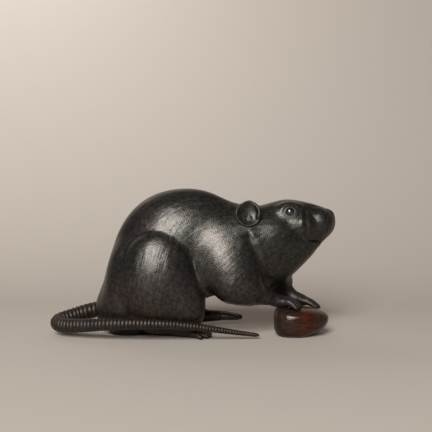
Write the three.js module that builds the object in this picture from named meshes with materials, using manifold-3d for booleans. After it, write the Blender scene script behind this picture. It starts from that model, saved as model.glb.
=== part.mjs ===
import * as THREE from "three";
import { mergeVertices } from "three/addons/utils/BufferGeometryUtils.js";
import Module from "manifold-3d";

// A cast bronze rat, crouched on its hind feet with both forepaws on a chestnut.
// Its ringed tail sweeps round behind the rump and forward along its right side.
// Millimetres, +Z up, the nose towards +X and the rat's right side towards -Y.

// Driving sizes
const BODY_LENGTH = 173;
const CHESTNUT_LENGTH = 38;
const CHESTNUT_WIDTH = 36;
const CHESTNUT_THICKNESS = 0.11272 * BODY_LENGTH;
const CHESTNUT_SOLE = 0.0616 * CHESTNUT_THICKNESS;
const CHESTNUT_BASE_SHARE = 0.42;
const EYE_DIAMETER = 6.6;
const EAR_DIAMETER = 18.5;
const EAR_THICKNESS = 1.6;
const TAIL_ROOT_DIAMETER = 12;
const TAIL_TIP_DIAMETER = 2.7;
const TAIL_RINGS = 56;
const TAIL_RING_RELIEF = 0.55;
const TOE_DIAMETER = 4.2;
const FINGER_DIAMETER = 3.6;
const FIT_GAP = 0.3;

// The figure's own unit: a hundredth of its length, counted forward from the rump and up from the ground.
const UNIT = BODY_LENGTH / 100;
const CHESTNUT_AT = [83.4, -3.6, 0];

const BRONZE = { color: 0x2b2724, roughness: 0.42, metalness: 0.85 };
const CHESTNUT_BRONZE = { color: 0x4a2218, roughness: 0.25, metalness: 0.6 };
const EYE_BLACK = { color: 0x0b0a0a, roughness: 0.08, metalness: 0.1 };

const wasm = await Module();
wasm.setup();

function place([x, y, z]) {
  return new THREE.Vector3(x * UNIT, y * UNIT, z * UNIT);
}

function solidOf(geometry) {
  const bare = geometry.clone();
  bare.deleteAttribute("normal");
  bare.deleteAttribute("uv");
  const merged = mergeVertices(bare, 1e-4);
  const mesh = new wasm.Mesh({
    numProp: 3,
    vertProperties: merged.attributes.position.array,
    triVerts: new Uint32Array(merged.index.array),
  });
  mesh.merge();
  return new wasm.Manifold(mesh);
}

function geometryOf(solid) {
  const { vertProperties, triVerts, numProp } = solid.getMesh();
  const geometry = new THREE.BufferGeometry();
  const points = new THREE.InterleavedBuffer(vertProperties, numProp);
  geometry.setAttribute("position", new THREE.InterleavedBufferAttribute(points, 3, 0));
  geometry.setIndex(new THREE.BufferAttribute(triVerts, 1));
  return geometry.toNonIndexed();
}

// The body is modelled as masses of wax. Each mass gives how far a point is outside it.

// An egg leans forward in the side view, and its lower end is splayed to the rat's left, both in degrees.
function egg(centre, radii, lean = 0, splay = 0) {
  const at = place(centre);
  const size = place(radii);
  const [tilt, roll] = [lean, splay].map(THREE.MathUtils.degToRad);
  const upright = new THREE.Matrix4().makeRotationY(tilt).multiply(new THREE.Matrix4().makeRotationX(-roll));
  const local = new THREE.Vector3();
  return (p) => {
    local.copy(p).sub(at).applyMatrix4(upright).divide(size);
    const reach = local.length();
    const slope = local.divide(size).length();
    return slope > 0 ? (reach * (reach - 1)) / slope : -Math.min(size.x, size.y, size.z);
  };
}

function limb(joints) {
  const bones = joints.slice(1).map(([, , , thick], i) => {
    const from = place(joints[i]);
    const along = place(joints[i + 1]).sub(from);
    return { from, along, thin: joints[i][3] * UNIT, thick: thick * UNIT };
  });
  const offset = new THREE.Vector3();
  return (p) => {
    let nearest = Infinity;
    for (const { from, along, thin, thick } of bones) {
      offset.copy(p).sub(from);
      const t = THREE.MathUtils.clamp(offset.dot(along) / along.lengthSq(), 0, 1);
      nearest = Math.min(nearest, offset.addScaledVector(along, -t).length() - THREE.MathUtils.lerp(thin, thick, t));
    }
    return nearest;
  };
}

function blend(a, b, radius) {
  const share = THREE.MathUtils.clamp(0.5 + (b - a) / (2 * radius), 0, 1);
  return THREE.MathUtils.lerp(b, a, share) - radius * share * (1 - share);
}

// The masses in the order they are pressed on, each with the width of the fillet that joins it to the rest.
const RIGHT = -1;
const LEFT = 1;
const WAX = [
  [10, egg([38, 0, 36.5], [27, 10.8, 23.2])],
  [5, egg([38, 0, 36.8], [19, 13.4, 19.5])],
  [10, egg([20, 0, 27], [27, 11.4, 13.4], 62)],
  [6, egg([14.5, 0, 9.6], [13.5, 13, 10.2])],
  [9, egg([65, 0, 32], [16, 12, 16])],
  [8, egg([62, 0, 38], [16, 11, 13])],
  [7, egg([80, 0, 42.6], [14, 9, 12.7])],
  [4, egg([89.8, 0, 45.4], [9.8, 6.2, 7.6])],
  [6, egg([79.6, 0, 33], [13.5, 7, 7.2], 49)],
  [2, egg([96.2, 0, 47.6], [3, 3.1, 3.7])],
  ...[RIGHT, LEFT].flatMap((side) => [
    [5, egg([15.5, 7.5 * side, 20], [9, 7.2, 17])],
    [4, egg([74, 5.2 * side, 38.4], [8.6, 5.8, 7.8])],
    [2, egg([92, 3.6 * side, 45.8], [6, 3.7, 4.8])],
    [1.6, egg([83.6, 6.3 * side, 44.7], [6.6, 3.4, 4.4])],
    [3, egg([80.5, 5.3 * side, 50.4], [5, 2.8, 3.4])],
    [2, egg([63.5, 6.6 * side, 46.4], [4.4, 3.4, 5])],
    [3.2, egg([54.5, 8.8 * side, 31.5], [19.5, 7.6, 12.5], -62, 16 * side)],
    [3, egg([46, 8 * side, 26], [7, 6, 8])],
  ]),
  [1.2, egg([27, 11 * RIGHT, 22], [15.5, 8.7, 20.5])],
  [1.2, egg([28, 11 * LEFT, 22], [15.5, 8.7, 20.5])],
  [4, egg([38, 10.5 * RIGHT, 13], [8, 6.3, 12.5])],
  [4, egg([38, 10.5 * LEFT, 13], [7.4, 6.3, 12.5])],
  [4, limb([[56, -9.6, 20.3, 6.2], [64, -9.8, 17.4, 4.8], [70, -8.8, 15.8, 3.4], [75, -7.6, 14.4, 2.6]])],
  [4, limb([[60, 9, 21, 7], [70, 7.8, 19.5, 7], [76, 6.4, 20.5, 6.8], [79, 5.6, 17.4, 3.9], [83, 5.1, 14.4, 2.6]])],
];

function skin(p) {
  return WAX.reduce((sum, [fillet, mass]) => blend(sum, mass(p), fillet * UNIT), 1e3);
}

function lines(from, to, step) {
  const count = Math.round((to - from) / step);
  return Array.from({ length: count }, (_, i) => (from + ((to - from) * i) / count) * UNIT);
}

// Walks a grid over a field: each cell that the surface passes through gets one corner of the mesh,
// in the middle of its crossings and then pulled on to the surface, and each grid edge that the surface
// crosses gets one face.
function surfaceOf(field, xs, ys, zs) {
  const strides = [1, xs.length, xs.length * ys.length];
  const points = zs.flatMap((z) => ys.flatMap((y) => xs.map((x) => new THREE.Vector3(x, y, z))));
  const values = points.map(field);
  const isInside = (n) => values[n] < 0;
  const positions = [];
  const vertexOf = new Map();
  for (let k = 0; k < zs.length - 1; k++) {
    for (let j = 0; j < ys.length - 1; j++) {
      for (let i = 0; i < xs.length - 1; i++) {
        const here = i + j * strides[1] + k * strides[2];
        const crossings = cellEdges(here, strides)
          .filter(([a, b]) => isInside(a) !== isInside(b))
          .map(([a, b]) => points[a].clone().lerp(points[b], values[a] / (values[a] - values[b])));
        if (crossings.length === 0) continue;
        const middle = crossings.reduce((sum, point) => sum.add(point), new THREE.Vector3());
        vertexOf.set(here, positions.length);
        positions.push(pullOn(field, middle.divideScalar(crossings.length)));
      }
    }
  }

  const triangles = [];
  for (const here of vertexOf.keys()) {
    for (let axis = 0; axis < 3; axis++) {
      if (isInside(here) === isInside(here + strides[axis])) continue;
      const [u, v] = [strides[(axis + 1) % 3], strides[(axis + 2) % 3]];
      const around = [here, here - u, here - u - v, here - v].map((cell) => vertexOf.get(cell));
      const [a, b, c, d] = isInside(here) ? around : around.reverse();
      triangles.push(a, b, c, a, c, d);
    }
  }
  const geometry = new THREE.BufferGeometry().setFromPoints(positions);
  geometry.setIndex(triangles);
  return geometry;
}

function cellEdges(here, [dx, dy, dz]) {
  const edges = [];
  for (const [along, across, over] of [[dx, dy, dz], [dy, dz, dx], [dz, dx, dy]]) {
    for (const side of [0, across, over, across + over]) edges.push([here + side, here + side + along]);
  }
  return edges;
}

function pullOn(field, point) {
  const step = 0.05;
  for (let round = 0; round < 2; round++) {
    const value = field(point);
    const uphill = new THREE.Vector3(
      field(point.clone().setX(point.x + step)) - value,
      field(point.clone().setY(point.y + step)) - value,
      field(point.clone().setZ(point.z + step)) - value,
    ).divideScalar(step);
    point.addScaledVector(uphill, -value / Math.max(uphill.lengthSq(), 0.3));
  }
  return point;
}

// A closed tube along a curve: a cylinder's rings laid across it. size gives half the width and half the height.
function sweep(curve, size, sides, steps, along = (t) => t) {
  const geometry = new THREE.CylinderGeometry(1, 1, 1, sides, steps);
  const position = geometry.attributes.position;
  const up = new THREE.Vector3(0, 0, 1);
  for (let i = 0; i < position.count; i++) {
    const t = along(0.5 - position.getY(i));
    const [width, height] = size(t, Math.round((0.5 - position.getY(i)) * steps));
    const tangent = curve.getTangentAt(t);
    const across = up.clone().cross(tangent).normalize();
    const over = tangent.clone().cross(across);
    const point = curve.getPointAt(t);
    point.addScaledVector(across, position.getX(i) * width).addScaledVector(over, position.getZ(i) * height);
    position.setXYZ(i, point.x, point.y, point.z);
  }
  return solidOf(geometry);
}

// A toe or finger: it arches up from its root and tapers to a claw that touches down at its tip.
function digit(root, tip, diameter, arch) {
  const from = place(root);
  const to = place(tip);
  const knuckle = from.clone().lerp(to, 0.45).add(new THREE.Vector3(0, 0, arch));
  const curve = new THREE.QuadraticBezierCurve3(from, knuckle, to);
  const radius = (t) => (diameter / 2) * (t < 0.72 ? 1 - 0.2 * t : 0.856 * Math.sqrt((1.04 - t) / 0.32) * 0.75);
  return sweep(curve, (t) => [radius(t), radius(t)], 6, 5);
}

function hindFoot({ heel, ball, reach, lift }) {
  const [from, to] = [place(heel), place(ball)];
  const instep = from.clone().lerp(to, 0.5).add(new THREE.Vector3(0, 0, 1.5));
  const sole = sweep(
    new THREE.QuadraticBezierCurve3(from, instep, to),
    (t) => [UNIT * (2.6 + 1.4 * t - 1.2 * (2 * t - 1) ** 4), UNIT * (2.7 - 0.8 * t)],
    8,
    6,
  );
  const heading = to.clone().sub(from).setZ(0).normalize();
  const across = new THREE.Vector3(-heading.y, heading.x, 0);
  return [-1.5, -0.75, 0, 0.75, 1.5].reduce((foot, spread) => {
    const root = to.clone().addScaledVector(across, spread * 2).addScaledVector(heading, -4);
    const tip = to
      .clone()
      .addScaledVector(across, spread * 4.2)
      .addScaledVector(heading, reach * UNIT * (1 - 0.13 * spread ** 2));
    tip.z = lift * UNIT + TOE_DIAMETER * 0.3;
    return foot.add(digit(root.divideScalar(UNIT).toArray(), tip.divideScalar(UNIT).toArray(), TOE_DIAMETER, 2));
  }, sole);
}

function forePaw({ wrist, knuckles, reach, droop, splay }) {
  const [from, to] = [place(wrist), place(knuckles)];
  const palm = sweep(
    new THREE.LineCurve3(from, to),
    (t) => [UNIT * (1.9 + 0.9 * t), UNIT * (2.1 - 0.5 * t)],
    8,
    4,
  );
  const heading = to.clone().sub(from).setZ(0).normalize();
  const across = new THREE.Vector3(-heading.y, heading.x, 0);
  return [-1.5, -0.5, 0.5, 1.5].reduce((paw, spread) => {
    const root = to.clone().addScaledVector(across, spread * 1.9).addScaledVector(heading, -3);
    const tip = to
      .clone()
      .addScaledVector(across, spread * splay)
      .addScaledVector(heading, reach * UNIT * (1 - 0.1 * spread ** 2));
    tip.z -= droop * UNIT;
    return paw.add(digit(root.divideScalar(UNIT).toArray(), tip.divideScalar(UNIT).toArray(), FINGER_DIAMETER, 2.2));
  }, palm);
}

// A thin round bowl that stands off the side of the head and opens outwards.
function ear(side) {
  const radius = EAR_DIAMETER / 2;
  const outside = [0, 0.35, 0.65, 0.88, 1].map((t) => new THREE.Vector2(radius * t, 0.42 * radius * t ** 2.4));
  const inside = outside.map(({ x, y }) => new THREE.Vector2(x * (1 - EAR_THICKNESS / radius), y + EAR_THICKNESS));
  const profile = [...outside, ...inside.reverse()];
  const facing = new THREE.Vector3(0.12, 0.95 * side, 0.2).normalize();
  const centre = place([62.8, 9.2 * side, 48.9]);
  const turn = new THREE.Quaternion().setFromUnitVectors(new THREE.Vector3(0, 1, 0), facing);
  const geometry = new THREE.LatheGeometry(profile, 12).applyQuaternion(turn);
  return solidOf(geometry.translate(centre.x, centre.y, centre.z));
}

const TAIL_PATH = new THREE.CatmullRomCurve3(
  [
    [6, 2.5, 10],
    [-2, 3.4, 8.6],
    [-9, 3.2, 6.7],
    [-14.8, -1, 5],
    [-12, -8, 4.5],
    [-3, -13.6, 5.3],
    [8, -17.2, 6.4],
    [20, -18.9, 6.9],
    [32, -19, 6.6],
    [42, -18, 5.6],
    [51, -16.6, 4.1],
    [58, -15.4, 2.9],
    [67.2, -14.2, 1.6],
  ].map(place),
  false,
  "centripetal",
);

function tail() {
  const shrink = TAIL_TIP_DIAMETER / TAIL_ROOT_DIAMETER;
  const pitchRatio = 0.55;
  const along = (share) => (1 - pitchRatio ** share) / (1 - pitchRatio);
  const size = (t, row) => {
    const radius = (TAIL_ROOT_DIAMETER / 2) * THREE.MathUtils.lerp(1, shrink, t ** 1.25);
    const groove = row % 2 ? 0 : TAIL_RING_RELIEF * THREE.MathUtils.lerp(1, 0.4, t);
    return [radius - groove, radius - groove];
  };
  return sweep(TAIL_PATH, size, 8, TAIL_RINGS * 2 - 1, along);
}

// How far a circle is pushed out, in the direction a, b, to make it nearer to a square.
function squareness(a, b, power) {
  return (Math.abs(a) ** power + Math.abs(b) ** power) ** (-1 / power);
}

// A chestnut on its side: a blunt square base behind, a rising point in front, and a flat sole.
function chestnutGeometry(grow) {
  const behind = CHESTNUT_BASE_SHARE * CHESTNUT_LENGTH + grow;
  const ahead = (1 - CHESTNUT_BASE_SHARE) * CHESTNUT_LENGTH + grow;
  const halfWidth = CHESTNUT_WIDTH / 2 + grow;
  const halfHeight = (CHESTNUT_THICKNESS + CHESTNUT_SOLE) / 2 + grow;
  const geometry = new THREE.SphereGeometry(1, 20, 14).rotateZ(Math.PI / 2);
  const position = geometry.attributes.position;
  for (let i = 0; i < position.count; i++) {
    const [x, y, z] = [position.getX(i), position.getY(i), position.getZ(i)];
    const around = Math.max(Math.hypot(y, z), 1e-6);
    const blunt = x < 0 ? squareness(x, around, 5) : 1;
    const cheeks = x < 0 ? Math.sqrt(1 - 0.3 * (x * blunt) ** 2) : 1;
    const fullness = THREE.MathUtils.clamp(1 - (z < 0 ? 2.2 : 1) * x, 0, 1);
    const flat = THREE.MathUtils.lerp(1, squareness(y / around, z / around, 3.4), fullness);
    const rise = 0.13 * CHESTNUT_THICKNESS * Math.max(0, x) ** 3;
    const length = x * blunt * (x < 0 ? behind : ahead);
    position.setXYZ(i, length, y * blunt * flat * cheeks * halfWidth, z * blunt * flat * halfHeight + rise);
  }
  return geometry;
}

const ground = solidOf(new THREE.BoxGeometry(1e3, 1e3, 100).translate(0, 0, -50));

function chestnut(grow) {
  const centre = place(CHESTNUT_AT).setZ((CHESTNUT_THICKNESS - CHESTNUT_SOLE) / 2);
  const geometry = chestnutGeometry(grow).translate(centre.x, centre.y, centre.z);
  return solidOf(geometry).subtract(ground);
}

function eyeball(side, grow) {
  const centre = place([79.9, 7.3 * side, 50]);
  const geometry = new THREE.IcosahedronGeometry(EYE_DIAMETER / 2 + grow, 2);
  return solidOf(geometry.translate(centre.x, centre.y, centre.z));
}

function rat() {
  const xs = [...lines(-3, 60, 3.3), ...lines(60, 103, 2.4)];
  const body = surfaceOf(skin, xs, lines(-25, 25, 2.8), lines(-8, 64, 2.9));
  return [
    solidOf(body),
    hindFoot({ heel: [17, -2, 2.4], ball: [41, -10.2, 1.8], reach: 7, lift: 0 }),
    hindFoot({ heel: [28, 8, 2.8], ball: [54, 13.5, 4.4], reach: 8, lift: 3.2 }),
    forePaw({ wrist: [72.5, -8, 14.5], knuckles: [78.6, -6.6, 13.8], reach: 6.6, droop: 1.9, splay: 5 }),
    forePaw({ wrist: [79.5, 5.5, 15.5], knuckles: [86.8, 4.4, 13], reach: 6.8, droop: 2.6, splay: 3 }),
    ear(RIGHT),
    ear(LEFT),
    tail(),
  ]
    .reduce((sum, piece) => sum.add(piece))
    .subtract(ground)
    .subtract(chestnut(FIT_GAP))
    .subtract(eyeball(RIGHT, FIT_GAP))
    .subtract(eyeball(LEFT, FIT_GAP))
    .simplify(0.03);
}

function mesh(name, solid, finish) {
  const made = new THREE.Mesh(geometryOf(solid), new THREE.MeshStandardMaterial(finish));
  made.name = name;
  return made;
}

const okimono = new THREE.Group();
okimono.name = "rat_and_chestnut";
okimono.add(mesh("rat", rat(), BRONZE));
okimono.add(mesh("chestnut", chestnut(0), CHESTNUT_BRONZE));
okimono.add(mesh("eye_right", eyeball(RIGHT, 0), EYE_BLACK));
okimono.add(mesh("eye_left", eyeball(LEFT, 0), EYE_BLACK));

const box = new THREE.Box3().setFromObject(okimono);
okimono.position.set(-(box.min.x + box.max.x) / 2, -(box.min.y + box.max.y) / 2, 0);

export default okimono;
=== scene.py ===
"""A bronze okimono: a crouching rat with its forepaws on a chestnut.

The rat is one casting, modelled here as it was in wax: masses pressed together and smoothed, the face cut
in, the fur combed, and the ears and the ringed tail joined on. The chestnut and the eyes are set to it.
Sizes are in metres. Places on the rat are in hundredths of its length, and so are the sizes of its masses.
"""

import math

import bmesh
import bpy
import numpy as np
from mathutils import Matrix, Vector, noise


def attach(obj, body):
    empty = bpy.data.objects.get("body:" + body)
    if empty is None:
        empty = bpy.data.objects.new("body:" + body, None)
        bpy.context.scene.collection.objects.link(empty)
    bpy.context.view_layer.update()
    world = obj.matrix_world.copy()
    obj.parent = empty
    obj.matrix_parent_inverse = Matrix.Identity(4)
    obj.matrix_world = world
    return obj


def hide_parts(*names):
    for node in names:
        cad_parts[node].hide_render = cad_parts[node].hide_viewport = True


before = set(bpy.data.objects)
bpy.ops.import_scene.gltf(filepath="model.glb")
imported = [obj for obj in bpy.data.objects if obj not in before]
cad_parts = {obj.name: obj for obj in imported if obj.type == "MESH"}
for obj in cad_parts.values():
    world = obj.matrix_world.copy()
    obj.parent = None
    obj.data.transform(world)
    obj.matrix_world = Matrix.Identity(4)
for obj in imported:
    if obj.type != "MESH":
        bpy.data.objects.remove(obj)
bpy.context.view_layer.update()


# The chestnut: a small casting of its own, patinated red-brown and polished. It lies on its flat side, with
# its blunt base and the base's scar towards the rat and its point rising in front.
BODY_LENGTH = 0.173
UNIT = BODY_LENGTH / 100
RUMP = Vector((-0.07055, 0.00122, 0.0))
CHESTNUT_LENGTH = 0.038
CHESTNUT_WIDTH = 0.036
CHESTNUT_THICKNESS = 0.11272 * BODY_LENGTH
CHESTNUT_SOLE = 0.0616 * CHESTNUT_THICKNESS
CHESTNUT_BASE_SHARE = 0.42
CHESTNUT_BASE_SQUARENESS = 5
CHESTNUT_SIDE_SQUARENESS = 3.4
CHESTNUT_CHEEKS = 0.3
CHESTNUT_RISE = 0.13
CHESTNUT_FACET = 0.004
CHESTNUT_FACET_PITCH = 0.0042
CHESTNUT_SCAR_AT = -0.76
CHESTNUT_SCAR_DEPTH = 0.018
CHESTNUT_AT = (83.4, -3.6)
FIT_GAP = 0.0003


def at(x, y, z):
    """A place in hundredths of the rat's length, from its rump, its middle plane and the ground."""
    return RUMP + UNIT * Vector((x, y, z))


def mesh_of(bm, name):
    mesh = bpy.data.meshes.new(name)
    bm.to_mesh(mesh)
    bm.free()
    piece = bpy.data.objects.new(name, mesh)
    bpy.context.scene.collection.objects.link(piece)
    return piece


def apply_modifiers(piece):
    settled = piece.evaluated_get(bpy.context.evaluated_depsgraph_get())
    mesh = bpy.data.meshes.new_from_object(settled)
    piece.modifiers.clear()
    piece.data = mesh


def join(body, tool, operation):
    cut = body.modifiers.new("join", "BOOLEAN")
    cut.operation = operation
    cut.solver = "MANIFOLD"
    cut.object = tool
    apply_modifiers(body)
    bpy.data.objects.remove(tool)


def grind_flat(piece):
    ground = bmesh.new()
    bmesh.ops.create_cube(ground, size=0.5, matrix=Matrix.Translation((0, 0, -0.25)))
    join(piece, mesh_of(ground, "ground"), "DIFFERENCE")


def soft_shading(piece, degrees):
    piece.data.polygons.foreach_set("use_smooth", [True] * len(piece.data.polygons))
    piece.data.set_sharp_from_angle(angle=math.radians(degrees))


def squareness(a, b, power):
    """How far a circle is pushed out, in the direction a, b, to make it nearer to a square."""
    return (abs(a) ** power + abs(b) ** power) ** (-1 / power)


def chestnut(name, grow):
    behind = CHESTNUT_BASE_SHARE * CHESTNUT_LENGTH + grow
    ahead = (1 - CHESTNUT_BASE_SHARE) * CHESTNUT_LENGTH + grow
    half_width = CHESTNUT_WIDTH / 2 + grow
    half_height = (CHESTNUT_THICKNESS + CHESTNUT_SOLE) / 2 + grow
    centre = at(*CHESTNUT_AT, 0)
    centre.z = (CHESTNUT_THICKNESS - CHESTNUT_SOLE) / 2
    nut = bmesh.new()
    bmesh.ops.create_uvsphere(nut, u_segments=112, v_segments=88, radius=1)
    bmesh.ops.rotate(nut, cent=(0, 0, 0), matrix=Matrix.Rotation(math.pi / 2, 3, "Y"), verts=nut.verts)
    for v in nut.verts:
        x, y, z = v.co
        around = math.hypot(y, z)
        blunt = squareness(x, around, CHESTNUT_BASE_SQUARENESS) if x < 0 else 1
        cheeks = math.sqrt(1 - CHESTNUT_CHEEKS * (x * blunt) ** 2) if x < 0 else 1
        flat = squareness(y / around, z / around, CHESTNUT_SIDE_SQUARENESS) if around > 1e-4 else 1
        rounding_ahead = 2.2 if z < 0 else 1
        flat = 1 + (flat - 1) * min(1, max(0, 1 - rounding_ahead * x))
        facet = 1 + CHESTNUT_FACET * math.sin(2 * math.pi * z * half_height / CHESTNUT_FACET_PITCH)
        scar = 1 - CHESTNUT_SCAR_DEPTH / (1 + math.exp((x * blunt - CHESTNUT_SCAR_AT) / 0.012))
        rise = CHESTNUT_RISE * CHESTNUT_THICKNESS * max(0.0, x) ** 3
        length = x * blunt * (behind if x < 0 else ahead)
        width = y * blunt * flat * scar * half_width * cheeks * facet
        height = z * blunt * flat * scar * half_height
        v.co = centre + Vector((length, width, height + rise))
    bmesh.ops.recalc_face_normals(nut, faces=nut.faces)
    piece = mesh_of(nut, name)
    grind_flat(piece)
    return piece


def chestnut_top(x, y):
    """The height of the chestnut's upper side, in hundredths as at() takes them."""
    share = (x - CHESTNUT_AT[0]) * UNIT / CHESTNUT_LENGTH
    share /= CHESTNUT_BASE_SHARE if share < 0 else 1 - CHESTNUT_BASE_SHARE
    roundness = CHESTNUT_BASE_SQUARENESS if share < 0 else 2
    around = max(0.0, 1 - abs(share) ** roundness) ** (1 / roundness)
    aside = (y - CHESTNUT_AT[1]) * UNIT / (CHESTNUT_WIDTH / 2)
    height = math.sqrt(max(0.0, around**2 - aside**2)) * (CHESTNUT_THICKNESS + CHESTNUT_SOLE) / 2
    return (height + (CHESTNUT_THICKNESS - CHESTNUT_SOLE) / 2) / UNIT


def new_material(name):
    material = bpy.data.materials.new(name)
    material.use_nodes = True
    return material, material.node_tree, material.node_tree.nodes["Principled BSDF"]


def add_node(tree, kind, values=None, **settings):
    made = tree.nodes.new(kind)
    for setting, value in settings.items():
        setattr(made, setting, value)
    for socket, value in (values or {}).items():
        if isinstance(value, bpy.types.NodeSocket):
            tree.links.new(value, made.inputs[socket])
        else:
            made.inputs[socket].default_value = value
    return made


def colour_ramp(tree, share, stops):
    ramp = add_node(tree, "ShaderNodeValToRGB", {"Fac": share})
    elements = ramp.color_ramp.elements
    elements[0].position, elements[0].color = stops[0][0], (*stops[0][1], 1)
    elements[1].position, elements[1].color = stops[-1][0], (*stops[-1][1], 1)
    for position, colour in stops[1:-1]:
        elements.new(position).color = (*colour, 1)
    return ramp.outputs["Color"]


def multiply_colours(tree, first, second):
    """The two colours multiplied. The mix node takes its share at 0 and its colours at 6 and 7."""
    mix = add_node(tree, "ShaderNodeMix", data_type="RGBA", blend_type="MULTIPLY")
    mix.inputs[0].default_value = 1.0
    tree.links.new(first, mix.inputs[6])
    tree.links.new(second, mix.inputs[7])
    return mix.outputs[2]


def maths(tree, operation, *values):
    result = add_node(tree, "ShaderNodeMath", dict(enumerate(values)), operation=operation)
    return result.outputs[0]


def noise_over(tree, place, scale, detail, roughness=0.5):
    return add_node(tree, "ShaderNodeTexNoise", {
        "Vector": place, "Scale": scale, "Detail": detail, "Roughness": roughness,
    }).outputs["Fac"]


def red_patina():
    material, tree, shader = new_material("red_patina")
    place = add_node(tree, "ShaderNodeTexCoord").outputs["Object"]
    split = add_node(tree, "ShaderNodeSeparateXYZ", {0: place})
    middle = at(*CHESTNUT_AT, 0).x
    along = add_node(tree, "ShaderNodeMapRange", {
        "Value": split.outputs["X"],
        "From Min": middle - CHESTNUT_BASE_SHARE * CHESTNUT_LENGTH,
        "From Max": middle + (1 - CHESTNUT_BASE_SHARE) * CHESTNUT_LENGTH,
    }).outputs["Result"]
    drawn = add_node(tree, "ShaderNodeMapping", {"Vector": place, "Scale": (90, 700, 700)}).outputs[0]
    grain = noise_over(tree, drawn, 1.0, 4.0)
    cloud = noise_over(tree, place, 130.0, 3.0)
    wavering = maths(tree, "MULTIPLY_ADD", cloud, 0.22, maths(tree, "SUBTRACT", along, 0.11))
    # Dark brown at the blunt end, a red band, and towards the point a paler grey-brown: painted reflection of
    # the floor.
    body = colour_ramp(tree, wavering, [
        (0.0, (0.022, 0.013, 0.009)),
        (0.2, (0.028, 0.015, 0.010)),
        (0.4, (0.030, 0.013, 0.008)),
        (0.5, (0.050, 0.013, 0.007)),
        (0.62, (0.044, 0.013, 0.007)),
        (0.76, (0.032, 0.018, 0.012)),
        (1.0, (0.042, 0.029, 0.021)),
    ])
    streaks = colour_ramp(tree, grain, [(0.35, (0.55, 0.5, 0.48)), (0.65, (1.25, 1.2, 1.2))])
    tree.links.new(multiply_colours(tree, body, streaks), shader.inputs["Base Color"])
    dull = add_node(tree, "ShaderNodeMapRange", {
        "Value": along, "From Min": 0.1, "From Max": 0.14, "To Min": 0.42, "To Max": 0.13,
    }).outputs["Result"]
    tree.links.new(maths(tree, "MULTIPLY_ADD", grain, 0.12, dull), shader.inputs["Roughness"])
    relief = add_node(tree, "ShaderNodeBump", {"Height": grain, "Strength": 0.5, "Distance": 0.0004})
    tree.links.new(relief.outputs["Normal"], shader.inputs["Normal"])
    shader.inputs["Metallic"].default_value = 0.2
    shader.inputs["Specular IOR Level"].default_value = 0.25
    return material


nut = chestnut("chestnut_casting", 0)
nut.data.materials.clear()
nut.data.materials.append(red_patina())
soft_shading(nut, 50)
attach(nut, "root")
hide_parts("chestnut")


# The rat's wax body. It was built up from masses pressed together, with wide fillets over the trunk and
# tight ones round the haunches and arms. Each mass here has its fillet, then its shape, in hundredths.
WAX_GRAIN = 0.00106
RIGHT = -1
LEFT = 1


def ball():
    bm = bmesh.new()
    bmesh.ops.create_icosphere(bm, subdivisions=4, radius=1)
    mesh = bpy.data.meshes.new("ball")
    bm.to_mesh(mesh)
    bm.free()
    return mesh


BALL = ball()


def press_ball(wax, shape):
    lump = BALL.copy()
    lump.transform(shape)
    wax.from_mesh(lump)
    bpy.data.meshes.remove(lump)


def egg(centre, radii, lean=0, splay=0):
    """An egg leant forward in the side view, its lower end splayed towards the rat's left, in degrees."""
    centre = at(*centre)
    radii = UNIT * Vector(radii)
    turn = Matrix.Rotation(math.radians(splay), 3, "X") @ Matrix.Rotation(math.radians(-lean), 3, "Y")

    def outside(points):
        local = (points - np.array(centre)) @ np.array(turn)
        reach = np.linalg.norm(local / np.array(radii), axis=1)
        slope = np.linalg.norm(local / np.array(radii) ** 2, axis=1)
        return reach * (reach - 1) / np.maximum(slope, 1e-9)

    def press(wax):
        press_ball(wax, Matrix.LocRotScale(centre, turn.to_quaternion(), radii))

    return outside, press, np.array(centre), max(radii)


def limb(*joints):
    """A chain of round tapering bones. Each joint is its place and its radius."""
    bones = []
    for near, far in zip(joints, joints[1:]):
        bones.append((at(*near[:3]), at(*far[:3]), near[3] * UNIT, far[3] * UNIT))

    def outside(points):
        nearest = np.full(len(points), np.inf)
        for start, end, thick, thin in bones:
            along = np.array(end - start)
            offset = points - np.array(start)
            share = np.clip(offset @ along / (along @ along), 0, 1)
            gap = np.linalg.norm(offset - share[:, None] * along, axis=1)
            nearest = np.minimum(nearest, gap - thick + share * (thick - thin))
        return nearest

    def press(wax):
        for start, end, thick, thin in bones:
            for share in np.linspace(0, 1, 6):
                radius = thick + share * (thin - thick)
                press_ball(wax, Matrix.LocRotScale(start.lerp(end, share), None, (radius,) * 3))

    middle = bones[0][0].lerp(bones[-1][1], 0.5)
    reach = 0
    for start, end, thick, thin in bones:
        reach = max(reach, (start - middle).length + thick, (end - middle).length + thick)
    return outside, press, np.array(middle), reach


MASSES = [
    (10, egg((38, 0, 36.5), (27, 10.8, 23.2))),  # trunk
    (5, egg((38, 0, 36.8), (19, 13.4, 19.5))),  # ribs
    (10, egg((20, 0, 27), (27, 11.4, 13.4), 62)),  # rump
    (6, egg((14.5, 0, 9.6), (13.5, 13, 10.2))),  # seat
    (9, egg((65, 0, 32), (16, 12, 16))),  # chest
    (8, egg((62, 0, 38), (16, 11, 13))),  # neck
    (7, egg((80, 0, 42.6), (14, 9, 12.7))),  # head
    (4, egg((89.8, 0, 45.4), (9.8, 6.2, 7.6))),  # muzzle
    (6, egg((79.6, 0, 33), (13.5, 7, 7.2), 49)),  # throat
    (1.5, egg((96.3, 0, 48.7), (2.8, 3, 2.4))),  # nose
    (1.5, egg((96.1, 0, 46.4), (2.9, 2.9, 2.6))),  # upper lip
    (1, egg((90.4, 0, 36.9), (2.2, 2.5, 1.7), 49)),  # chin
]
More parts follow.
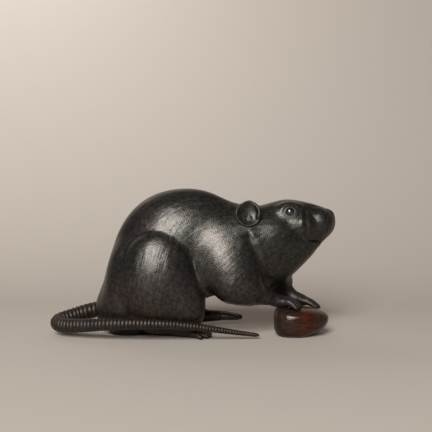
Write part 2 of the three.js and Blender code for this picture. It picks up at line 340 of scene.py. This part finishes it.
for side in (RIGHT, LEFT):
    MASSES += [
        (5, egg((15.5, 7.5 * side, 20), (9, 7.2, 17))),  # hip
        (4, egg((74, 5.2 * side, 38.4), (8.6, 5.8, 7.8))),  # jowl
        (2, egg((93.1, 3.3 * side, 46), (4.9, 4.2, 4.8))),  # whisker pad
        (1.6, egg((84, 6.3 * side, 44.5), (6, 3.4, 4.2))),  # cheekbone
        (3, egg((80.5, 5.3 * side, 50.4), (5, 2.8, 3.4))),  # brow
        (2, egg((63.5, 6.6 * side, 46.4), (4.4, 3.4, 5))),  # root of the ear
        (3.2, egg((54.5, 8.8 * side, 31.5), (19.5, 7.6, 12.5), -62, 16 * side)),  # upper arm
        (3, egg((46, 8 * side, 26), (7, 6, 8))),  # flank
    ]
MASSES += [
    (1.2, egg((27, 11 * RIGHT, 22), (15.5, 8.7, 20.5))),  # right thigh
    (1.2, egg((28, 11 * LEFT, 22), (15.5, 8.7, 20.5))),  # left thigh
    (4, egg((38, 10.5 * RIGHT, 13), (8, 6.3, 12.5))),  # right knee
    (4, egg((38, 10.5 * LEFT, 13), (7.4, 6.3, 12.5))),  # left knee
    # The right forearm, then the left.
    (4, limb((56, -9.6, 20.3, 6.2), (64, -9.8, 17.4, 4.8), (70, -8.8, 15.8, 3.2), (75, -7.6, 14.4, 2.1))),
    (4, limb(
        (60, 9, 21, 7), (70, 7.8, 19.5, 7), (76, 6.4, 20.5, 6.8), (79, 5.6, 17.4, 3.9), (83, 5.1, 14.4, 2.3),
    )),
]


# The paws and feet, rolled out of the same wax: a narrow palm or instep, and long digits that arch at the
# knuckle and taper to a small claw. The forepaws' fingers follow the top of the chestnut.
DIGIT_JOINTS = [(0, 0, 1), (0.32, 1, 0.96), (0.62, 0.6, 0.8), (0.9, 0, 0.58), (1.02, -0.3, 0.25)]
DIGIT_SEAT = 0.75
DIGIT_FILLET = 0.45


def digit(root, degrees, reach, drop, thick, arch, rests_on):
    heading = Vector((math.cos(math.radians(degrees)), math.sin(math.radians(degrees)), 0))
    joints = []
    for share, lift, size in DIGIT_JOINTS:
        spot = Vector(root) + heading * reach * share
        spot.z += lift * arch * thick - drop * share**1.6
        if rests_on:
            spot.z = max(spot.z, rests_on(spot.x, spot.y) + DIGIT_SEAT * size * thick)
        joints.append((*spot, size * thick))
    return limb(*joints)


def paw(knuckles, degrees, spacing, thick, drop, arch, toes, rests_on=None):
    """A row of digits. Each of the toes is its splay from the paw's own heading and its length."""
    across = Vector((-math.sin(math.radians(degrees)), math.cos(math.radians(degrees)), 0))
    masses = []
    for place, (splay, reach) in enumerate(toes):
        offset = place - (len(toes) - 1) / 2
        root = Vector(knuckles) + across * offset * spacing
        masses.append((DIGIT_FILLET, digit(root, degrees + splay, reach, drop, thick, arch, rests_on)))
    return masses


MASSES += [
    (1.2, egg((75.8, -7, 13.9), (5.2, 3.4, 2.6), -10)),  # right palm
    (1.2, egg((84.8, 4.9, 13.4), (5.4, 3.4, 2.6), -18)),  # left palm
    (1.5, limb((17, -3, 2.4, 2.4), (30, -7, 3, 2.9), (39.5, -9.6, 1.9, 2.3))),  # right instep
    (2.5, limb((30, 8.5, 3.5, 3.2), (44.5, 11.6, 5, 2.8), (54, 13.6, 4.8, 2))),  # left instep
]
NEAR_FINGERS = [(-40, 5.4), (-18, 7), (0, 7.8), (14, 7)]
FAR_FINGERS = [(-14, 6.2), (-3, 7.2), (8, 7), (22, 5.8)]
NEAR_TOES = [(-24, 6.2), (-10, 7.9), (0, 8.4), (10, 7.9), (26, 6)]
FAR_TOES = [(-12, 7.2), (-4, 8.8), (2, 9.4), (9, 8.8), (18, 7)]
MASSES += paw((77.4, -6.7, 13.9), 8, 1.7, 1.55, 2.4, 0.3, NEAR_FINGERS, chestnut_top)
MASSES += paw((86.8, 4.4, 12.9), -8, 1.4, 1.45, 3, 0.1, FAR_FINGERS, chestnut_top)
MASSES += paw((40.5, -9.9, 1.7), -16, 1.25, 1.15, 0.7, 0.45, NEAR_TOES)
MASSES += paw((52.5, 13.4, 4.8), 13, 0.8, 1.75, 0.9, 0.05, FAR_TOES)


# Melting together: the pressed masses are made one skin, which is drawn tight over them. It is finer where
# the face, the fingers and the toes will be cut.
SKIN_MARGIN = 0.003
LEAST_SLOPE = 0.3


def skin(points):
    """How far the points are outside the masses, with each mass joined to those before it by its fillet."""
    total = np.full(len(points), 1.0)
    for fillet, (outside, press, middle, reach) in MASSES:
        width = fillet * UNIT
        near = np.linalg.norm(points - middle, axis=1) < reach + 2 * width + SKIN_MARGIN
        mass = outside(points[near])
        rest = total[near]
        share = np.clip(0.5 + (mass - rest) / (2 * width), 0, 1)
        total[near] = mass + share * (rest - mass) - width * share * (1 - share)
    return total


def skin_slope(points):
    step = 0.00005
    value = skin(points)
    slope = [(skin(points + step * axis) - value) / step for axis in np.eye(3)]
    return value, np.stack(slope, axis=1)


def places(mesh):
    co = np.empty(len(mesh.vertices) * 3, np.float32)
    mesh.vertices.foreach_get("co", co)
    return co.reshape(-1, 3).astype(float)


def move_to(mesh, points):
    mesh.vertices.foreach_set("co", points.astype(np.float32).ravel())
    mesh.update()


def press_on_to_skin(mesh, rounds=1):
    points = places(mesh)
    for _ in range(rounds):
        value, slope = skin_slope(points)
        steep = np.maximum((slope**2).sum(axis=1), LEAST_SLOPE)
        points -= slope * (value / steep)[:, None]
    move_to(mesh, points)


def smooth(mesh, rounds, centre=None, radius=None):
    bm = bmesh.new()
    bm.from_mesh(mesh)
    verts = [v for v in bm.verts if centre is None or (v.co - centre).length < radius]
    for _ in range(rounds):
        bmesh.ops.smooth_vert(bm, verts=verts, factor=0.5, use_axis_x=True, use_axis_y=True, use_axis_z=True)
    bm.to_mesh(mesh)
    bm.free()


def refine(mesh, centre, radius):
    bm = bmesh.new()
    bm.from_mesh(mesh)
    near = [f for f in bm.faces if (f.calc_center_median() - centre).length < radius]
    edges = list({e for f in near for e in f.edges})
    bmesh.ops.subdivide_edges(bm, edges=edges, cuts=1, use_grid_fill=True)
    bm.to_mesh(mesh)
    bm.free()


wax = bmesh.new()
for fillet, (outside, press, middle, reach) in MASSES:
    press(wax)
rat = mesh_of(wax, "rat_casting")
melt = rat.modifiers.new("melt together", "REMESH")
melt.mode = "VOXEL"
melt.voxel_size = WAX_GRAIN
apply_modifiers(rat)
press_on_to_skin(rat.data)
smooth(rat.data, 4)
press_on_to_skin(rat.data)

EYE_PLACE = (79.9, 7.3, 50)
# The muzzle, the right and left fingers and the right and left toes, each with the reach of its fine skin.
MUZZLE_AND_DIGITS = [
    (at(92, 0, 43), 0.0165),
    (at(81.5, -6.6, 13), 0.014),
    (at(87.5, 4.8, 13.5), 0.0135),
    (at(44, -10.6, 1.5), 0.011),
    (at(57, 14.2, 4.5), 0.011),
]
EYE_REGIONS = [(at(EYE_PLACE[0] + 1, EYE_PLACE[1] * side, EYE_PLACE[2]), 0.0105) for side in (RIGHT, LEFT)]
for centre, radius in MUZZLE_AND_DIGITS + EYE_REGIONS:
    refine(rat.data, centre, radius)
    smooth(rat.data, 3, centre, radius * 1.1)
press_on_to_skin(rat.data, 2)


# The face. Eyelids, the folds in front of the eye, the hollow behind the whisker pad, the mouth, the
# nostrils and the cheek's edge were cut into the wax with a small tool, the same on both sides.
LID_TILT = 10
LID_HALF_LENGTH = 0.0043
LID_HALF_HEIGHT = 0.0031
LID_RELIEF = 0.00028
LID_FOLD_DEPTH = 0.0003
WRINKLE_DEPTH = 0.0002
LIP_DEPTH = 0.0008
LIP_RELIEF = 0.0010
NOSTRIL_DEPTH = 0.0009
PAD_CREASE_DEPTH = 0.0006
CHEEK_EDGE_DEPTH = 0.0011


def path_gap(points, path):
    """The distance from a line drawn on the side view, and the same with a minus sign behind the line."""
    flat = points[:, [0, 2]]
    nearest = np.full(len(points), np.inf)
    signed = np.full(len(points), np.inf)
    stops = [np.array(at(x, 0, z))[[0, 2]] for x, z in path]
    for start, end in zip(stops, stops[1:]):
        along = end - start
        offset = flat - start
        share = np.clip(offset @ along / (along @ along), 0, 1)
        gap = np.linalg.norm(offset - share[:, None] * along, axis=1)
        ahead = along[0] * offset[:, 1] - along[1] * offset[:, 0] > 0
        signed = np.where(gap < nearest, np.where(ahead, gap, -gap), signed)
        nearest = np.minimum(nearest, gap)
    return nearest, signed


def swell(distance, width):
    """A smooth bump, 1 at the middle and about a third at one width from it."""
    return np.exp(-((distance / width) ** 2))


def cut_line(points, path, width, depth):
    return -depth * swell(path_gap(points, path)[0], width)


def eyelid_relief(points, side):
    centre = np.array(at(EYE_PLACE[0], EYE_PLACE[1] * side, EYE_PLACE[2]))
    offset = points - centre
    tilt = math.radians(LID_TILT)
    across = (offset[:, 0] * math.cos(tilt) + offset[:, 2] * math.sin(tilt)) / LID_HALF_LENGTH
    over = (offset[:, 2] * math.cos(tilt) - offset[:, 0] * math.sin(tilt)) / LID_HALF_HEIGHT
    almond = (np.abs(across) ** 2.4 + np.abs(over) ** 1.4) ** (1 / 1.9)
    lid = LID_RELIEF * swell(almond - 1.05, 0.32) * np.clip(0.7 + 0.4 * over, 0.45, 1)
    fold = -LID_FOLD_DEPTH * swell(almond - 1.4, 0.16) * np.clip(0.2 + over, 0, 1)
    ring = np.hypot(across, over)
    front = np.clip(across / np.maximum(ring, 1e-6), 0, 1) ** 0.5
    wrinkles = 0
    for distance in (1.75, 2.15, 2.6):
        wrinkles = wrinkles - WRINKLE_DEPTH * swell(ring - distance, 0.11)
    near = (offset[:, 1] * side > -0.006) & (np.linalg.norm(offset, axis=1) < 0.014)
    return near * (lid + fold + wrinkles * front)


def mouth_relief(points):
    lips = [(87.4, 38.1), (89.4, 38.4), (91.4, 38.2), (92.8, 37.5)]
    lower_lip = [(x - 0.3, z - 0.85) for x, z in lips]
    lower_jaw = [(84.6, 39.8), (86.4, 36.6), (88.4, 34.2)]
    height = cut_line(points, lips, 0.0005, LIP_DEPTH)
    height += LIP_RELIEF * swell(path_gap(points, lower_lip)[0], 0.0006)
    height += cut_line(points, lower_jaw, 0.0016, 0.0004)
    return height


def nose_relief(points):
    height = cut_line(points, [(95.5, 51.4), (94.9, 47), (95.4, 43.6)], 0.0007, 0.00035)
    snout = points - np.array(at(98, 0, 43))
    height -= 0.0005 * swell(snout[:, 1], 0.0005) * swell(snout[:, 2], 0.006) * (snout[:, 0] > -0.012)
    for side in (RIGHT, LEFT):
        for spot, size in (((97.3, 2.3, 49.9), 0.0010), ((96.7, 2.7, 49.3), 0.0008)):
            gap = np.linalg.norm(points - np.array(at(spot[0], spot[1] * side, spot[2])), axis=1)
            height -= NOSTRIL_DEPTH * swell(gap, size)
    return height


def face_relief(points):
    crease = path_gap(points, [(86.6, 52), (86.2, 47), (86.4, 40.5)])[1]
    height = 0.0003 * swell(crease + 0.0024, 0.0014) - PAD_CREASE_DEPTH * swell(crease, 0.0018)
    cheek = path_gap(points, [(65, 39.2), (67.2, 35.2), (68.8, 30), (71.9, 24.8)])[1]
    height += 0.0003 * swell(cheek - 0.0016, 0.0016) - CHEEK_EDGE_DEPTH * swell(cheek + 0.0026, 0.0034)
    height += mouth_relief(points) + nose_relief(points)
    for side in (RIGHT, LEFT):
        height += eyelid_relief(points, side)
    return height


# The fur, combed into the wax with a stiff brush: strokes that run back over the head, slant down the
# shoulders and fall down the haunches. The numbers are places on the side view and the strokes' degrees.
FUR_LIE = [
    (97, 47, 178), (86, 54, 172), (88, 42, 186), (80, 44, 200), (72, 50, 184), (72, 38, 208),
    (66, 30, 228), (55, 52, 168), (56, 40, 214), (58, 30, 218), (52, 24, 236), (56, 16, 262),
    (66, 15, 318), (75, 26, 250), (45, 58, 182), (32, 58, 196), (44, 44, 214), (20, 50, 222),
    (10, 38, 244), (4, 20, 262), (12, 12, 270), (22, 32, 264), (30, 36, 252), (36, 28, 258),
    (26, 18, 268), (24, 6, 272), (44, 26, 246), (40, 10, 268),
]
# The forepaws, the nose and the left foot, each with its radius in hundredths.
BARE_PLACES = [((80, -6.5, 13), 9), ((87, 4.6, 14), 10), ((97.5, 0, 48), 4.5), ((57, 14, 4.5), 14)]
STROKE_WIDTH = 0.0017
STROKE_LENGTH = 0.006
STROKE_DEPTH = 0.00007


def combing(points, normals):
    flat = points[:, [0, 2]]
    heading = np.zeros((len(points), 3))
    for x, z, degrees in FUR_LIE:
        gap = np.linalg.norm(flat - np.array(at(x, 0, z))[[0, 2]], axis=1)
        weight = 1 / (gap**2 + 0.006**2) ** 1.5
        heading[:, 0] += weight * math.cos(math.radians(degrees))
        heading[:, 2] += weight * math.sin(math.radians(degrees))
    heading -= normals * (heading * normals).sum(axis=1)[:, None]
    return heading / np.maximum(np.linalg.norm(heading, axis=1), 1e-9)[:, None]


def furriness(points):
    fur = np.clip((points[:, 2] - 0.006) / 0.008, 0, 1)
    for place, radius in BARE_PLACES:
        gap = np.linalg.norm(points - np.array(at(*place)), axis=1) / (radius * UNIT)
        fur *= np.clip((gap - 0.8) / 0.3, 0, 1)
    for side in (RIGHT, LEFT):
        eye = np.array(at(EYE_PLACE[0], EYE_PLACE[1] * side, EYE_PLACE[2]))
        fur *= np.clip((np.linalg.norm(points - eye, axis=1) - 0.0042) / 0.003, 0.15, 1)
    return fur


def brushed(points, comb, width, length):
    """Noise drawn out along the comb: the average of a few samples on each side of a point."""
    total = np.zeros(len(points))
    reach = np.linspace(-length / 2, length / 2, 7)
    for step in reach:
        samples = (points + comb * step) / width
        total += np.fromiter((noise.noise(Vector(p)) for p in samples), float, len(samples))
    return total / len(reach)


def fur_relief(points, outward):
    comb = combing(points, outward)
    strokes = brushed(points, comb, STROKE_WIDTH, STROKE_LENGTH)
    tufts = brushed(points, comb, 2.6 * STROKE_WIDTH, 1.2 * STROKE_LENGTH)
    return furriness(points) * STROKE_DEPTH * (3.2 * strokes + 2.2 * tufts)


surface = places(rat.data)
value, slope = skin_slope(surface)
outward = slope / np.linalg.norm(slope, axis=1)[:, None]
relief = face_relief(surface) + fur_relief(surface, outward)
move_to(rat.data, surface + outward * relief[:, None])


# The ears: round cups with a thick rolled rim, pressed on behind the eyes and open to the side. The front
# edge is folded over.
EAR_DIAMETER = 0.0185
EAR_THICKNESS = 0.0016
EAR_DEPTH = 0.003
EAR_AT = (62.8, 9.2, 48.9)
EAR_FACING = (0.12, 0.95, 0.2)
EAR_FOLD = [(0.5, 0.74, 1.4), (0.7, 0.52, 2.2), (0.8, 0.26, 2.6), (0.82, 0, 2.6), (0.74, -0.28, 2)]
EAR_FOLD_RADIUS = 0.00145
EAR_GRAIN = 0.0005


def ear_cup(side):
    """A shallow round cup, thicker at the rim, with a low peak at its top."""
    cup = bmesh.new()
    bmesh.ops.create_uvsphere(cup, u_segments=64, v_segments=48, radius=1)
    for v in cup.verts:
        radial = min(1.0, math.hypot(v.co.x, v.co.y))
        front = -side * v.co.x
        inside = v.co.z > 0
        rim = 1 / (1 + math.exp((0.82 - radial) / 0.06))
        wall = EAR_THICKNESS * (0.7 + 0.3 * rim) * math.sqrt(max(0.0, 1 - radial**10))
        bowl = EAR_DEPTH * radial**2.2
        round_at = math.atan2(v.co.y, front)
        peak = 1 + radial * (0.06 * math.exp(-(((round_at - 1.4) / 0.3) ** 2))
                             - 0.05 * math.exp(-(((round_at - 2.25) / 0.5) ** 2)))
        reach = EAR_DIAMETER / 2 * peak
        v.co = Vector((v.co.x * reach, v.co.y * reach, bowl + (wall if inside else -0.35 * wall)))
    return cup


def fold_front_edge(cup, side):
    for (x, y, z), (x2, y2, z2) in zip(EAR_FOLD, EAR_FOLD[1:]):
        for share in np.linspace(0, 1, 5):
            spot = Vector((x + share * (x2 - x), y + share * (y2 - y), 0)) * EAR_DIAMETER / 2
            spot.x *= -side
            spot.z = (z + share * (z2 - z)) / 1000 + 0.0012
            there = Matrix.Translation(spot)
            bmesh.ops.create_icosphere(cup, subdivisions=3, radius=EAR_FOLD_RADIUS, matrix=there)


def ear(side):
    cup = ear_cup(side)
    fold_front_edge(cup, side)
    facing = Vector((EAR_FACING[0], EAR_FACING[1] * side, EAR_FACING[2]))
    turn = facing.to_track_quat("Z", "Y").to_matrix().to_4x4()
    there = Matrix.Translation(at(EAR_AT[0], EAR_AT[1] * side, EAR_AT[2]))
    bmesh.ops.transform(cup, matrix=there @ turn, verts=cup.verts)
    piece = mesh_of(cup, f"ear_{side}")
    melt = piece.modifiers.new("melt together", "REMESH")
    melt.mode = "VOXEL"
    melt.voxel_size = EAR_GRAIN
    apply_modifiers(piece)
    smooth(piece.data, 5)
    return piece


# The tail, cast with the body: a long taper with close rings, lying round the rump and along the right foot.
TAIL_ROOT_DIAMETER = 0.012
TAIL_TIP_DIAMETER = 0.0027
TAIL_RINGS = 78
TAIL_RING_RELIEF = 0.00075
TAIL_RING_FLATNESS = 0.32
TAIL_RING_CLOSING = 0.55
TAIL_RELIEF_LOSS = 0.55
TAIL_TAPER = 1.25
TAIL_STEPS_PER_RING = 6
TAIL_STOPS = [
    (6, 2.5, 10),
    (-2, 3.4, 8.6),
    (-9, 3.2, 6.7),
    (-14.8, -1, 5),
    (-12, -8, 4.5),
    (-3, -13.6, 5.3),
    (8, -17.2, 6.4),
    (20, -18.9, 6.9),
    (32, -19, 6.6),
    (42, -18, 5.6),
    (51, -16.6, 4.1),
    (58, -15.4, 2.9),
    (67.2, -14.2, 1.6),
]


def tube(name, stops, radii, sides):
    """A closed round tube through the stops, with its own radius at each."""
    curve = bpy.data.curves.new(name, "CURVE")
    curve.dimensions = "3D"
    curve.bevel_depth = 1.0
    curve.bevel_resolution = (sides - 4) // 2
    curve.use_fill_caps = True
    spline = curve.splines.new("POLY")
    spline.points.add(len(stops) - 1)
    for point, stop, radius in zip(spline.points, stops, radii):
        point.co = (*stop, 1)
        point.radius = radius
    holder = bpy.data.objects.new(name, curve)
    bpy.context.scene.collection.objects.link(holder)
    mesh = bpy.data.meshes.new_from_object(holder.evaluated_get(bpy.context.evaluated_depsgraph_get()))
    bpy.data.objects.remove(holder)
    bm = bmesh.new()
    bm.from_mesh(mesh)
    bmesh.ops.remove_doubles(bm, verts=bm.verts, dist=1e-7)
    bmesh.ops.recalc_face_normals(bm, faces=bm.faces)
    return mesh_of(bm, name)


def smooth_path(stops, steps):
    """A line through all the stops that turns smoothly at each, the stops as at() takes them."""
    points = [at(*stop) for stop in stops]
    points = [2 * points[0] - points[1], *points, 2 * points[-1] - points[-2]]
    path = []
    for before, start, end, after in zip(points, points[1:], points[2:], points[3:]):
        ahead = (end - before) / 2
        onward = (after - start) / 2
        for share in np.linspace(0, 1, steps, endpoint=False):
            s2, s3 = share**2, share**3
            path.append(
                start * (2 * s3 - 3 * s2 + 1) + ahead * (s3 - 2 * s2 + share)
                + end * (3 * s2 - 2 * s3) + onward * (s3 - s2)
            )
    path.append(points[-2])
    return path


def tail():
    route = np.array([list(p) for p in smooth_path(TAIL_STOPS, 40)])
    run = np.concatenate([[0], np.cumsum(np.linalg.norm(np.diff(route, axis=0), axis=1))])
    count = TAIL_RINGS * TAIL_STEPS_PER_RING
    turns = np.arange(count + 1) / count
    shares = (1 - TAIL_RING_CLOSING**turns) / (1 - TAIL_RING_CLOSING)
    stops = np.stack([np.interp(shares * run[-1], run, route[:, axis]) for axis in range(3)], axis=1)
    radii = []
    for turn, share in zip(turns, shares):
        radius = (TAIL_ROOT_DIAMETER + (TAIL_TIP_DIAMETER - TAIL_ROOT_DIAMETER) * share**TAIL_TAPER) / 2
        phase = (turn * TAIL_RINGS) % 1
        ring = abs(math.sin(math.pi * phase)) ** TAIL_RING_FLATNESS
        tip = math.sqrt(max(0.02, 1 - max(0.0, (share - 0.985) / 0.015) ** 2))
        groove = TAIL_RING_RELIEF * (1 - TAIL_RELIEF_LOSS * share) * (1 - ring)
        radii.append((radius - groove) * tip)
    return tube("tail", stops, radii, sides=20)


for fitting in (ear(RIGHT), ear(LEFT), tail()):
    join(rat, fitting, "UNION")
grind_flat(rat)
join(rat, chestnut("chestnut_seat", FIT_GAP), "DIFFERENCE")


# The eyes: polished black beads, set into sockets in the head.
EYE_DIAMETER = 0.0066


def bead(name, side, grow):
    bm = bmesh.new()
    middle = Matrix.Translation(at(EYE_PLACE[0], EYE_PLACE[1] * side, EYE_PLACE[2]))
    bmesh.ops.create_uvsphere(bm, u_segments=48, v_segments=32, radius=EYE_DIAMETER / 2 + grow, matrix=middle)
    return mesh_of(bm, name)


black, _, shader = new_material("eye_black")
shader.inputs["Base Color"].default_value = (0.004, 0.004, 0.004, 1)
shader.inputs["Roughness"].default_value = 0.22
shader.inputs["IOR"].default_value = 1.9
for side, word in ((RIGHT, "right"), (LEFT, "left")):
    join(rat, bead("socket", side, FIT_GAP), "DIFFERENCE")
    eye = bead(f"eye_bead_{word}", side, 0)
    eye.data.materials.append(black)
    soft_shading(eye, 50)
    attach(eye, "root")
    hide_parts(f"eye_{word}")


# The dark patina: near-black bronze with olive, brown and violet casts, satin where the fur is brushed and
# rubbed brighter on the edges, and dark in the hollows, where painted shade lies over the patina's own darker
# tone. The fur's fine lines follow the comb that shaped the strokes.
def record_fur(mesh):
    """Keeps the comb's direction and where the fur is on the mesh, for the patina to read."""
    points = places(mesh)
    value, slope = skin_slope(points)
    outward = slope / np.maximum(np.linalg.norm(slope, axis=1), 1e-9)[:, None]
    on_body = np.clip(1.6 - np.abs(value) / 0.0006, 0, 1)
    mesh.attributes.new("comb", "FLOAT_VECTOR", "POINT")
    mesh.attributes["comb"].data.foreach_set("vector", combing(points, outward).astype(np.float32).ravel())
    mesh.attributes.new("fur", "FLOAT", "POINT")
    mesh.attributes["fur"].data.foreach_set("value", (furriness(points) * on_body).astype(np.float32))


def hairlines(tree, place, comb, width, length):
    """Noise drawn out along the comb, as the strokes are."""
    total = 0.0
    for step in (-0.5, -0.25, 0, 0.25, 0.5):
        shifted = add_node(tree, "ShaderNodeVectorMath", {0: comb, 1: (step * length,) * 3, 2: place},
                           operation="MULTIPLY_ADD").outputs[0]
        sample = noise_over(tree, shifted, 1 / width, 1.0)
        total = maths(tree, "MULTIPLY_ADD", sample, 0.2, total)
    contrast = {"Value": total, "From Min": 0.38, "From Max": 0.62}
    return add_node(tree, "ShaderNodeMapRange", contrast).outputs["Result"]


def bronze_tone(tree, place, hair, blotch):
    """Olive above to brown below, mottled, lighter on hairlines and edges, darker in hollows: patina and
    painted shade.
    """
    cast = noise_over(tree, place, 38.0, 3.0)
    height = add_node(tree, "ShaderNodeSeparateXYZ", {0: place}).outputs["Z"]
    lowness = add_node(tree, "ShaderNodeMapRange", {"Value": height, "From Min": 0.06, "From Max": 0.01})
    casting = maths(tree, "MULTIPLY_ADD", lowness.outputs["Result"], 0.3, cast)
    bronze = colour_ramp(tree, casting, [
        (0.36, (0.037, 0.036, 0.031)),
        (0.52, (0.040, 0.036, 0.031)),
        (0.66, (0.041, 0.035, 0.033)),
        (0.9, (0.045, 0.033, 0.025)),
    ])
    mottle = colour_ramp(tree, blotch, [(0.35, (0.6, 0.6, 0.6)), (0.65, (1.3, 1.3, 1.3))])
    tone = multiply_colours(tree, bronze, mottle)
    lines = colour_ramp(tree, hair, [(0.1, (1, 1, 1)), (0.7, (1.15, 1.15, 1.15)), (1.0, (1.4, 1.4, 1.4))])
    tone = multiply_colours(tree, tone, lines)
    # By pointiness: painted shade darkens the hollows over the patina's darker tone, and rubbed edges are
    # lighter.
    edge = add_node(tree, "ShaderNodeNewGeometry").outputs["Pointiness"]
    hollow_shade_and_edge_wear = colour_ramp(tree, edge, [(0.42, (0.3, 0.3, 0.3)), (0.5, (1, 1, 1)), (0.6, (1.12, 1.1, 1.06))])
    return multiply_colours(tree, tone, hollow_shade_and_edge_wear)


def dark_patina():
    material, tree, shader = new_material("dark_patina")
    place = add_node(tree, "ShaderNodeTexCoord").outputs["Object"]
    comb = add_node(tree, "ShaderNodeAttribute", attribute_name="comb").outputs["Vector"]
    fur = add_node(tree, "ShaderNodeAttribute", attribute_name="fur").outputs["Fac"]
    coarse = hairlines(tree, place, comb, 0.0010, 0.006)
    fine = hairlines(tree, place, comb, 0.00045, 0.004)
    hair = maths(tree, "MULTIPLY", maths(tree, "MULTIPLY_ADD", fine, 0.5, coarse), fur)
    blotch = noise_over(tree, place, 420.0, 5.0, 0.65)
    tree.links.new(bronze_tone(tree, place, hair, blotch), shader.inputs["Base Color"])
    sheen = maths(tree, "MULTIPLY_ADD", blotch, 0.16, 0.2)
    sheen = maths(tree, "MULTIPLY_ADD", hair, 0.07, sheen)
    dulled = maths(tree, "MULTIPLY_ADD", maths(tree, "SUBTRACT", 1.0, fur), 0.22, sheen)
    tree.links.new(dulled, shader.inputs["Roughness"])
    relief = add_node(tree, "ShaderNodeBump", {"Height": hair, "Strength": 0.5, "Distance": 0.00013})
    pits = add_node(tree, "ShaderNodeBump", {
        "Height": blotch, "Strength": 0.25, "Distance": 0.0002, "Normal": relief.outputs["Normal"],
    })
    tree.links.new(pits.outputs["Normal"], shader.inputs["Normal"])
    shader.inputs["Metallic"].default_value = 0.85
    return material


record_fur(rat.data)
rat.data.materials.clear()
rat.data.materials.append(dark_patina())
soft_shading(rat, 50)
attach(rat, "root")
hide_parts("rat")


# The setting: a pale seamless paper that sweeps up behind, soft light from a window at the front left, a
# wash on the paper behind, and the photograph's camera.
PAPER_BENDS_AT = 0.16
PAPER_BEND_RADIUS = 0.5
PAPER_COLOUR = (0.42, 0.368, 0.318, 1)
CAMERA_AT = (0.01621, -0.42878, 0.0837)
CAMERA_LENS = 49.8


def backdrop():
    paper = bmesh.new()
    bmesh.ops.create_grid(paper, x_segments=1, y_segments=80, size=1.6)
    for v in paper.verts:
        past = max(0.0, v.co.y - PAPER_BENDS_AT)
        turn = min(past / PAPER_BEND_RADIUS, math.pi / 2)
        straight = past - turn * PAPER_BEND_RADIUS
        v.co.y = min(v.co.y, PAPER_BENDS_AT) + PAPER_BEND_RADIUS * math.sin(turn)
        v.co.z = PAPER_BEND_RADIUS * (1 - math.cos(turn)) + straight
    piece = mesh_of(paper, "backdrop")
    material, _, shader = new_material("backdrop_paper")
    shader.inputs["Base Color"].default_value = PAPER_COLOUR
    shader.inputs["Roughness"].default_value = 0.9
    piece.data.materials.append(material)
    soft_shading(piece, 60)
    return piece


backdrop()

camera_data = bpy.data.cameras.new("camera")
camera_data.sensor_width = 36
camera_data.lens = CAMERA_LENS
camera = bpy.data.objects.new("camera", camera_data)
camera.location = CAMERA_AT
camera.rotation_euler = (math.radians(90), 0, 0)
bpy.context.scene.collection.objects.link(camera)
bpy.context.scene.camera = camera


def softbox(name, place, target, size, watts, colour=(1, 1, 1)):
    light = bpy.data.lights.new(name, "AREA")
    light.shape = "RECTANGLE"
    light.size, light.size_y = size
    light.energy = watts
    light.color = colour
    holder = bpy.data.objects.new(name, light)
    holder.location = place
    holder.rotation_euler = (Vector(target) - Vector(place)).to_track_quat("-Z", "Y").to_euler()
    bpy.context.scene.collection.objects.link(holder)


softbox("window", (-0.34, -1.35, 0.88), (0, 0, 0.04), (0.62, 0.92), 40)
softbox("wall_wash", (-0.5, 0.35, 0.95), (-0.4, 1.2, 0.8), (0.7, 0.3), 7, (0.97, 0.99, 1.04))
world = bpy.data.worlds.new("room")
world.use_nodes = True
world.node_tree.nodes["Background"].inputs["Color"].default_value = (0.8, 0.79, 0.78, 1)
world.node_tree.nodes["Background"].inputs["Strength"].default_value = 0.14
bpy.context.scene.world = world
bpy.context.scene.view_settings.view_transform = "Standard"
